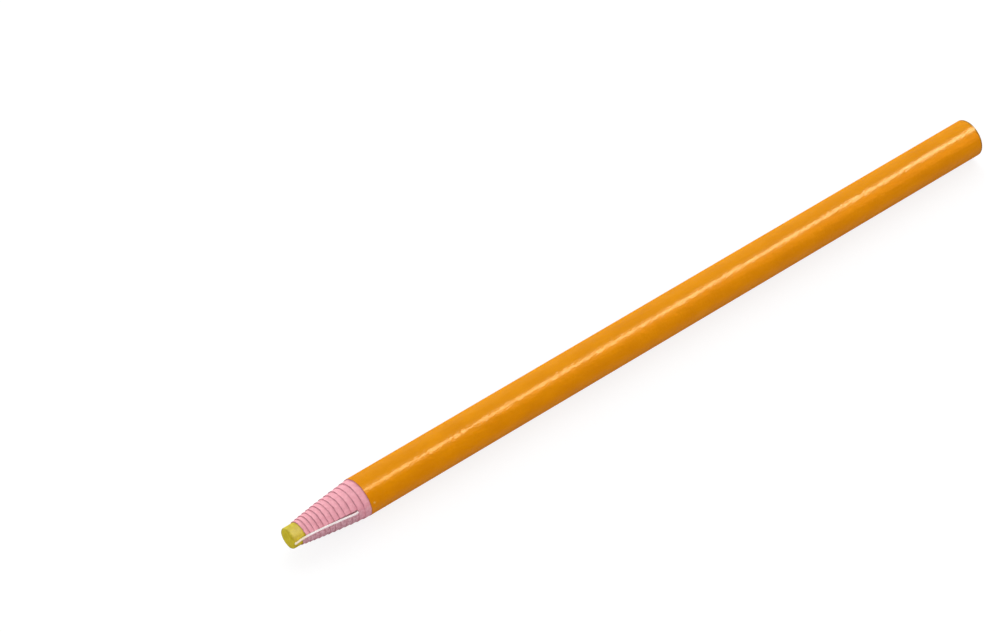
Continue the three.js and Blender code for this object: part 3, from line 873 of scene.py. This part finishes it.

# %% [markdown]
# Bodies
#
# Every fine piece stands for its solid from the imported part. The chalk, the coat, the held thread and
# the turns move with the pencil's body: one call says which body each rides on, and one which solid it
# replaces. The tail is baked where it lies, with no body, and replaces the tail's solid.

# %% Bodies, solids and finishes
for piece, node, slot in [(chalk_stick, "chalk_core", "chalk"), (lacquer_coat, "barrel_coat", "lacquer"),
                          (held_thread, "pull_string", "string")]:
    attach(piece, "pencil")
    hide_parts(node)
for turn, piece in enumerate(paper_turns, start=1):
    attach(piece, "pencil")
    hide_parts(f"paper_turn_{turn:02d}")
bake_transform(thread_tail)
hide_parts("pull_string_tail")

# %% [markdown]
# Floor and light
#
# The pencil lies on a white table in plain soft light. The floor looks white to the camera and in
# reflections, and it keeps a faint shadow under the barrel. One bright sky would do that with less work,
# but the barrel then has no dark side and no clear line of light. So four broad softboxes light the pencil
# from behind, from low behind, from the tip and from the near side, hidden from reflections. Three
# lamps are seen only in reflections, as a product photographer's strip lights are. A long strip gives the
# line of light along the barrel, a warm one joins it towards the rear, and one above the tip does the
# same for the other sides.

# %% White floor and white surroundings
def white_to_the_eye(tree):
    """One for rays from the camera, in reflections and through glass, and zero for the light itself."""
    rays = put(tree, "ShaderNodeLightPath")
    seen = put(tree, MATH, {0: rays.outputs["Is Camera Ray"], 1: rays.outputs["Is Glossy Ray"]},
               operation="MAXIMUM")
    return put(tree, MATH, {0: seen, 1: rays.outputs["Is Transmission Ray"]}, operation="MAXIMUM")


world = bpy.data.worlds.new("white_room")
bpy.context.scene.world = world
world.use_nodes = True
tree = world.node_tree
tree.nodes.clear()
room_light = 0.4
strength = put(tree, RANGE, {"Value": white_to_the_eye(tree), "From Min": 0.0, "From Max": 1.0,
                             "To Min": room_light})
background = put(tree, "ShaderNodeBackground", {"Color": (1, 1, 1, 1), "Strength": strength})
put(tree, "ShaderNodeOutputWorld", {"Surface": background})

table_top = bpy.data.materials.new("white_table_top")
table_top.use_nodes = True
tree = table_top.node_tree
tree.nodes.clear()
floor_grey, floor_glow = 0.22, 0.835
paint = put(tree, "ShaderNodeBsdfDiffuse", {"Color": (floor_grey, floor_grey, floor_grey, 1)})
whiteness = put(tree, MATH, {0: white_to_the_eye(tree), 1: floor_glow}, operation="MULTIPLY")
glow = put(tree, "ShaderNodeEmission", {"Color": (1, 1, 1, 1), "Strength": whiteness})
top = put(tree, "ShaderNodeAddShader", {0: paint, 1: glow})
put(tree, "ShaderNodeOutputMaterial", {"Surface": top})
print("room light", room_light, "and floor glow", floor_glow)


# %% A floor just under the lowest point of the part
floor_half = 4.0
floor_gap = 0.01 * MM
floor_level = cad_box[0][2] - floor_gap
floor_mesh = bpy.data.meshes.new("floor")
floor_mesh.from_pydata([(-floor_half, -floor_half, floor_level), (floor_half, -floor_half, floor_level),
                        (floor_half, floor_half, floor_level), (-floor_half, floor_half, floor_level)],
                       [], [(0, 1, 2, 3)])
floor_mesh.materials.append(table_top)
floor = bpy.data.objects.new("floor", floor_mesh)
bpy.context.collection.objects.link(floor)
print("floor", 2 * floor_half, "m wide, at", round(floor_level / MM, 2), "mm")


# %% Lamps
def softbox(name, at, width, height, watts, to=(0, 0, 0), along=None):
    """A rectangular lamp at a point, facing another, with its width along a direction if one is given."""
    lamp = bpy.data.lights.new(name, "AREA")
    lamp.shape = "RECTANGLE"
    lamp.size = width
    lamp.size_y = height
    lamp.energy = watts
    holder = bpy.data.objects.new(name, lamp)
    away = (Vector(at) - Vector(to)).normalized()
    if along:
        side = (Vector(along) - Vector(along).dot(away) * away).normalized()
        holder.matrix_world = Matrix((side, away.cross(side), away)).transposed().to_4x4()
    else:
        holder.rotation_euler = (-away).to_track_quat("-Z", "Y").to_euler()
    holder.location = at
    bpy.context.collection.objects.link(holder)
    print(name, "at", [round(value, 3) for value in at])
    return holder


back = softbox("back_softbox", at=(0.6, 0.6, 0.85), width=1.6, height=1.0, watts=9.8)
low = softbox("low_softbox", at=(0, 0.95, 0.3), width=1.6, height=0.5, watts=3.8)
tip = softbox("tip_softbox", at=(-0.95, -0.15, 0.2), width=0.5, height=0.5, watts=3.2, to=(-0.08, 0, 0))
near = softbox("near_softbox", at=(0.0, -0.95, 0.16), width=1.4, height=0.3, watts=3.5)
strip = softbox("strip_light", at=(0.347, -0.130, 0.60), width=0.60, height=0.09, watts=27.0,
                along=(0.303, 0.186, 0))
rear = softbox("rear_softbox", at=(0.64, -0.6, 0.6), width=0.35, height=0.7, watts=12.0, to=(0.06, 0, 0))
top_strip = softbox("top_strip_light", at=(-0.13, 0, 0.70), width=0.40, height=0.08, watts=9.0,
                    to=(-0.13, 0, 0), along=(1, 0, 0))
for lamp in (strip, top_strip, rear):
    lamp.visible_diffuse = False
for lamp in (back, low, near, tip):
    lamp.visible_glossy = False
strip.data.color = srgb("FFEBE0")[:3]
rear.data.color = srgb("FFB96E")[:3]
near.data.color = srgb("FFE4F0")[:3]

# %% [markdown]
# The end
#
# Blender's usual view makes strong colours paler, so the Standard view is set, which shows them as they
# were written.

# %% Colour as it is written
bpy.context.scene.view_settings.view_transform = "Standard"
print("view transform", bpy.context.scene.view_settings.view_transform)
